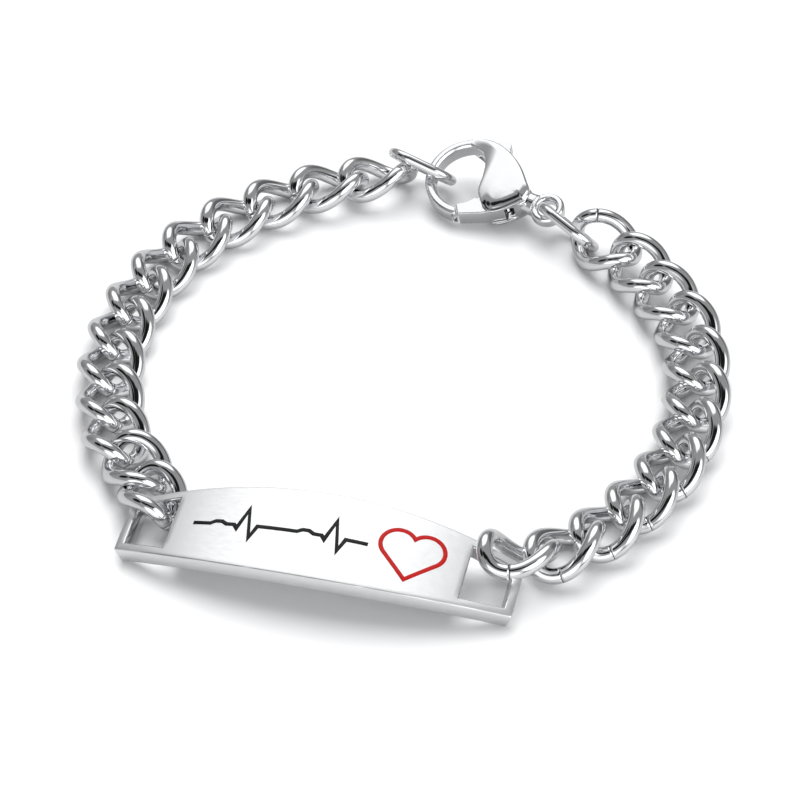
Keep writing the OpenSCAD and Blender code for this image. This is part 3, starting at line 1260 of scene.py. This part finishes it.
@dataclass
class DomeCap:
    """Swelling half of the claw's body, over the lever and above the hook's band.

    Attributes:
        claw_r: Outer radius of the round head.
        floor: Height of its underside.
        hook_top: Height of the core where it runs into the hook.
        rim_z: Height of its rim.
        swell: Gentle rise of its crown over its ends.
        crown: Highest point of the swell, in claw radii.
        reach: Lengths of the swell along and across its ridge, in claw radii.
        bearing: Turn of the ridge, in degrees.
        shoulder: Steep rise of its sides over the rim.
        ledge: Width of the flat ledge beside the gate.
        roll: Width over which its sides roll down.
        ease: Points of the outline over which the roll-down sets in.
        fade: Where it starts and ends sinking into the hook, in claw radii.
        sunk: How far its end sinks under the rim's height.
        rings: Rings between its middle and its outline.
        middle: Point that the rings close in on, in claw radii.
        polish: Passes that even out its top.
        steps: Parts of each span of its outline.
        edge: Its edge over the claw's opening, in claw radii.
        gate_side: Its rim beside the gate, up to the neck, in claw radii.
        far_side: Its rim from the neck to the hook, in claw radii.
        opening: Corners in the claw's opening that close its cutter, in claw radii.
        hook_end: Corners round the end of the core at the hook, in claw radii.
        cut_h: Half height of the cutters.
    """

    claw_r: float
    floor: float = 1.3
    hook_top: float = 1.24
    rim_z: float = 1.46
    swell: float = 0.38
    crown: tuple[float, float] = (-0.55, -0.34)
    reach: tuple[float, float] = (4.0, 1.0)
    bearing: float = -24.0
    shoulder: float = 0.38
    ledge: float = 0.4
    roll: float = 1.5
    ease: float = 9.0
    fade: tuple[float, float] = (-0.5, 0.46)
    sunk: float = 0.26
    rings: int = 26
    middle: tuple[float, float] = (-0.5, -0.5)
    polish: int = 60
    steps: int = 9
    edge: Corners = (
        (0.36, -0.74), (0.1, -0.68), (-0.06, -0.6), (-0.23, -0.36), (-0.35, -0.02),
        (-0.43, 0.32), (-0.63, 0.56),
    )
    gate_side: Corners = (
        (-0.63, 0.56), (-0.88, 0.66), (-1.1, 0.54), (-1.34, 0.28), (-1.46, 0.12),
    )
    far_side: Corners = (
        (-1.46, 0.12), (-1.46, -0.14), (-1.3, -0.33), (-1.0, -0.61), (-0.66, -0.82),
        (-0.25, -0.96), (0.1, -0.985), (0.42, -0.9), (0.36, -0.74),
    )
    opening: Corners = ((0.3, 0.32), (0.3, -0.6))
    hook_end: Corners = ((-0.1, -1.2), (0.5, -1.2), (0.5, -0.5), (-0.1, -0.5))
    cut_h: float = 3.0

    def _scaled(self, points: Iterable[tuple[float, ...]]) -> Points:
        """Points given in claw radii, in millimetres."""
        return [(x * self.claw_r, y * self.claw_r) for x, y in points]

    def _curve(self, knots: Corners) -> Points:
        """Smooth line through some points, without its last one."""
        return self._scaled(Route(list(knots), steps=self.steps).line[:-1])

    @staticmethod
    def _soft(t: float) -> float:
        """Soft step from 0 to 1."""
        t = min(max(t, 0.0), 1.0)
        return t * t * (3 - 2 * t)

    def _swelling(self, x: float, y: float) -> float:
        """Gentle rise of the cap at a point, in millimetres."""
        off = Vector((x / self.claw_r - self.crown[0], y / self.claw_r - self.crown[1]))
        off.rotate(Matrix.Rotation(math.radians(-self.bearing), 2))
        return self.swell * (1 - (off.x / self.reach[0]) ** 2 - (off.y / self.reach[1]) ** 2)

    def _sink(self, x: float) -> float:
        """How far the cap has sunk into the hook, from 0 to 1."""
        start, end = self.fade
        return self._soft((x / self.claw_r - start) / (end - start))

    def _height(self, x: float, y: float, off: float, steep: float) -> float:
        """Height of the cap's top.

        Args:
            x: Distance towards the hook.
            y: Distance towards the gate.
            off: Distance from the line where the roll-down ends.
            steep: Share of the roll-down that this part of the outline has.

        Returns:
            The height in millimetres.
        """
        side = 1 - min(max(off / self.roll, 0), 1)
        rise = self.shoulder * (1 - steep * (1 - math.sqrt(1 - side ** 2))) + self._swelling(x, y)
        sink = self._sink(x)
        return self.rim_z - self.sunk * sink + rise * (1 - sink)

    def model(self) -> Piece:
        """Models the cap: rings drawn in from its outline, raised to its dome and closed below.

        Returns:
            The upper cap in the clasp's own frame.
        """
        sides = [self._curve(part) for part in (self.edge, self.gate_side, self.far_side)]
        line = sum(sides, [])
        count, free, ledge_end = len(line), len(sides[0]), len(sides[0]) + len(sides[1])
        mx, my = (m * self.claw_r for m in self.middle)

        def point(i: int, ring: int) -> Vector:
            """Point of the cap's top on one ring, under point i of the outline."""
            i, share = i % count, ring / self.rings
            px, py = line[i]
            x, y = mx + (px - mx) * share, my + (py - my) * share
            off = math.hypot(px - x, py - y) - (self.ledge if i < ledge_end else 0.0)
            steep = self._soft(min(i - free + 1, count - i) / self.ease)
            return Vector((x, y, self._height(x, y, off, steep))) * MM

        cap = Bench.sheet(count, self.rings, point)
        Bench.outwards(cap)
        rim = [Vector(p) * MM for p in line]
        Bench.select(cap, lambda co: min((co.xy - q).length for q in rim) > self.roll * MM)
        bpy.ops.mesh.vertices_smooth(
            factor=SMOOTHING, repeat=self.polish, xaxis=False, yaxis=False, zaxis=True)
        bpy.ops.mesh.select_mode(type="EDGE")
        bpy.ops.mesh.select_all(action="DESELECT")
        bpy.ops.mesh.select_non_manifold()
        bpy.ops.mesh.extrude_region_move(TRANSFORM_OT_translate={"value": (0, 0, -MM)})
        Bench.leave()
        for v in cap.data.vertices:
            if v.select:
                v.co.z = (self.floor - self.sunk * self._sink(v.co.x / MM)) * MM
        bpy.ops.object.mode_set(mode="EDIT")
        bpy.ops.mesh.edge_face_add()
        Bench.leave()
        Bench.outwards(cap)
        return cap

    def cutters(self) -> list[Piece]:
        """Cutters of the claw's opening and of the core over the hook's band."""
        opening = self._curve(self.edge[2:-1]) + self._scaled(self.opening)
        hook, top, far = self._scaled(self.hook_end), self.hook_top, self.cut_h
        cuts = ((opening, -far, far), (hook, top, far), (hook, -far, -top))
        return [Bench.prism(*cut) for cut in cuts]


@dataclass
class LobsterClasp:
    """Cast claw with its body, lever and cross pin.

    Attributes:
        finishes: Shared materials.
        claw_r: Outer radius of the round head.
        rim_h: Thickness of the body at its rim.
        core_h: Thickness of the body under its two caps.
        middle: x and y of the head's centre.
        turn: Turn on the table, in degrees.
        tilt: Tilt, far side up, in degrees.
        grain: Mesh size of the cast pieces.
        body_polish: Polishing passes of the body.
        lever_polish: Polishing passes of the lever.
    """

    finishes: Finishes
    claw_r: float = 5.7
    rim_h: float = 3.0
    core_h: float = 2.74
    middle: tuple[float, float] = (0.5, 33.0)
    turn: float = 162.0
    tilt: float = 20.0
    grain: float = 0.08
    body_polish: int = 5
    lever_polish: int = 4

    def place(self) -> Matrix:
        """The clasp's own frame: +X to the hook, +Y to the gate."""
        a = math.radians(self.tilt)
        low = self.claw_r * math.sin(a) + self.rim_h / 2 * math.cos(a)
        stand = turned((*self.middle, low), (0, 0, self.turn))
        return stand @ turned((0, 0, 0), (-self.tilt, 0, 0))

    def _take(self, node: Piece, name: str) -> Piece:
        """Takes a merged copy of a CAD node as a mould.

        Args:
            node: CAD node.
            name: Name of the piece.

        Returns:
            The copy, free of the node's own properties.
        """
        Bench.pick(node)
        bpy.ops.object.duplicate()
        made = bpy.context.object
        made.parent = None
        made.name = made.data.name = name
        for key in list(made.keys()):
            del made[key]
        Bench.outwards(made)
        return made

    def _cast(self, made: Piece, passes: int) -> None:
        """Casts a mould as one piece, with every edge polished round.

        Args:
            made: Closed shells that may overlap.
            passes: Polishing passes.
        """
        Bench.apply(made, "REMESH", mode="VOXEL", voxel_size=self.grain * MM, use_smooth_shade=True)
        Bench.apply(made, "SMOOTH", factor=SMOOTHING, iterations=passes)
        Bench.pick(made)
        bpy.ops.object.shade_smooth()
        made.data.materials.clear()
        made.data.materials.append(self.finishes.cast)

    def _model_body(self, node: Piece) -> Piece:
        """Models the body: the node's core with a swelling cap on each side.

        Args:
            node: CAD node of the body.

        Returns:
            The body in place.
        """
        body = self._take(node, "claw_body")
        place = self.place()
        for side in (-1, 1):
            Bench.select(body)
            bpy.ops.mesh.bisect(
                plane_co=place @ Vector((0, 0, side * self.core_h / 2 * MM)),
                plane_no=place.to_3x3() @ Vector((0, 0, side)), use_fill=True, clear_outer=True)
            Bench.leave()
        cap = DomeCap(self.claw_r)
        for cutter in cap.cutters():
            Bench.set_down(cutter, place)
            Bench.apply(body, "BOOLEAN", operation="DIFFERENCE", solver="EXACT", object=cutter)
            Bench.discard(cutter)
        upper = cap.model()
        lower = Bench.copy_to(upper, "cap_below", Matrix.Diagonal((1, 1, -1, 1)))
        Bench.outwards(lower)
        for half in (upper, lower):
            Bench.set_down(half, place)
        Bench.pick(body)
        upper.select_set(True)
        lower.select_set(True)
        bpy.ops.object.join()
        self._cast(body, self.body_polish)
        return body

    def build(self, nodes: dict[str, Piece]) -> None:
        """Builds and dresses the body, the lever and the pin.

        Args:
            nodes: CAD nodes by name.
        """
        body = self._model_body(nodes["clasp_body"])
        Bench.finish(body, BRACELET, Slot.STEEL, "clasp_body")
        lever = self._take(nodes["clasp_lever"], "claw_lever")
        self._cast(lever, self.lever_polish)
        Bench.finish(lever, LEVER, Slot.STEEL, "clasp_lever")
        for slot in nodes["clasp_pin"].material_slots:
            slot.material = self.finishes.polished


# Studio


@dataclass(frozen=True)
class Panel:
    """Soft-edged white or black panel standing round the table.

    Attributes:
        azimuth: Its direction from straight behind the object, to the right as the camera looks.
        elevation: Its height over the horizon.
        inner: Half angle of its even middle.
        outer: Half angle at which it has faded out.
        light: Its brightness.
    """

    azimuth: float
    elevation: float
    inner: float
    outer: float
    light: float


@dataclass
class Studio:
    """Pale table, panels all round, a soft lamp over it and the camera.

    Attributes:
        azimuth: Turn of the camera round the object, in degrees.
        elevation: Height of the camera over the horizon, in degrees.
        distance: Distance from the aim point.
        aim: Point that the camera looks at.
        lens: Focal length.
        sensor: Width of the camera's sensor.
        clip: Nearest and farthest distance that the camera sees, in metres.
        roll: Turn of the camera about its own axis, in degrees.
        room: Tint of the light from the room.
        base: Brightness of the room between the panels.
        panels: The panels, each laid over those before it.
        lamp_way: Azimuth and elevation of the lamp, measured as a panel's.
        lamp_far: Distance of the lamp in metres.
        lamp_size: Side of the lamp in metres.
        lamp_power: Power of the lamp in watts.
        table_z: Height of the table top.
        table_size: Side of the table top in metres.
    """

    azimuth: float = 14.9
    elevation: float = 43.5
    distance: float = 330.0
    aim: tuple[float, float, float] = (0.5, -4.3, 0.0)
    lens: float = 126.7
    sensor: float = 36.0
    clip: tuple[float, float] = (0.01, 20.0)
    roll: float = -1.4
    room: Colour = (0.99, 0.995, 1.0)
    base: float = 0.33
    panels: tuple[Panel, ...] = (
        Panel(130, 34, 22, 34, 1.8),
        Panel(0, 50, 19, 30, 1.5),
        Panel(-32, 63, 8, 16, 1.2),
        Panel(-165, 10, 22, 36, 1.5),
        Panel(45, 8, 12, 28, 0.14),
        Panel(-50, 14, 10, 22, 0.24),
        Panel(-95, 38, 12, 18, 0.01),
        Panel(-125, 60, 10, 15, 0.01),
        Panel(-165, 69, 9, 14, 0.01),
        Panel(150, 67, 7, 11, 0.01),
        Panel(125, 63, 5, 8, 0.03),
    )
    lamp_way: tuple[float, float] = (0.0, 68.0)
    lamp_far: float = 0.9
    lamp_size: float = 0.8
    lamp_power: float = 7.0
    table_z: float = -0.1
    table_size: float = 6.0

    def place_camera(self) -> None:
        """Adds the camera at the photograph's angle."""
        a, e = math.radians(self.azimuth), math.radians(self.elevation)
        back = Vector((math.sin(a) * math.cos(e), -math.cos(a) * math.cos(e), math.sin(e)))
        data = bpy.data.cameras.new("camera")
        data.lens = self.lens
        data.sensor_width = self.sensor
        data.clip_start, data.clip_end = self.clip
        camera = bpy.data.objects.new("camera", data)
        bpy.context.scene.collection.objects.link(camera)
        stand = Matrix.Translation((Vector(self.aim) + back * self.distance) * MM)
        look = (-back).to_track_quat("-Z", "Y").to_matrix().to_4x4()
        camera.matrix_world = stand @ look @ Matrix.Rotation(math.radians(self.roll), 4, "Z")
        bpy.context.scene.camera = camera

    def towards(self, azimuth: float, elevation: float) -> Vector:
        """Direction of a panel.

        Args:
            azimuth: From straight behind the object, to the right as the camera looks.
            elevation: Height over the horizon.

        Returns:
            The direction in the scene's frame.
        """
        a, e = math.radians(azimuth - self.azimuth), math.radians(elevation)
        return Vector((math.cos(e) * math.sin(a), math.cos(e) * math.cos(a), math.sin(e)))

    def hang_panels(self) -> None:
        """Paints the panels on the room round the table."""
        world = bpy.data.worlds.new("studio")
        nodes = Nodes(world)
        way = nodes.add("TexCoord", {}).outputs["Generated"]
        level: float | Socket = self.base
        for panel in self.panels:
            to_panel = self.towards(panel.azimuth, panel.elevation)
            off = nodes.add("VectorMath", {0: way, 1: to_panel}, operation="DOT_PRODUCT")
            edge = nodes.add("MapRange", {
                "Value": off.outputs["Value"],
                "From Min": math.cos(math.radians(panel.outer)),
                "From Max": math.cos(math.radians(panel.inner)),
            }, interpolation_type="SMOOTHSTEP")
            lay = nodes.add("Mix", {"Factor": edge.outputs["Result"], "A": level, "B": panel.light})
            level = lay.outputs["Result"]
        light = {"Strength": level, "Color": (*self.room, 1.0)}
        nodes.feed(nodes.tree.nodes["Background"], light)
        bpy.context.scene.world = world

    def hang_lamp(self) -> None:
        """Adds the soft lamp that whitens the table; the polished metal doesn't mirror it."""
        data = bpy.data.lights.new("lamp", "AREA")
        data.size = self.lamp_size
        data.energy = self.lamp_power
        lamp = bpy.data.objects.new("lamp", data)
        bpy.context.scene.collection.objects.link(lamp)
        way = self.towards(*self.lamp_way)
        look = way.to_track_quat("Z", "Y").to_matrix().to_4x4()
        lamp.matrix_world = Matrix.Translation(way * self.lamp_far) @ look
        lamp.visible_glossy = False

    def lay_table(self) -> None:
        """Adds the pale table under the bracelet."""
        Bench.clear()
        bpy.ops.mesh.primitive_plane_add(size=self.table_size, location=(0, 0, self.table_z * MM))
        table = bpy.context.object
        table.name = table.data.name = "table"
        table.data.materials.append(TABLE_TOP.build())

    def build(self) -> None:
        """Sets up the whole studio."""
        self.place_camera()
        self.hang_panels()
        self.hang_lamp()
        self.lay_table()
        view = bpy.context.scene.view_settings
        view.view_transform = "Standard"
        view.look = "None"


def main() -> None:
    """Builds the bracelet over the frame, piece by piece."""
    logging.basicConfig(level=logging.INFO, format="%(name)s: %(message)s")
    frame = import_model()
    Studio().build()
    finishes = Finishes(POLISHED.build(), CAST.build(), SEAM.build())
    CurbChain(finishes).build()
    SlimLinks(finishes).build()
    IdentityPlate(finishes).build()
    LobsterClasp(finishes).build(frame["nodes"])


if __name__ == "__main__":
    main()
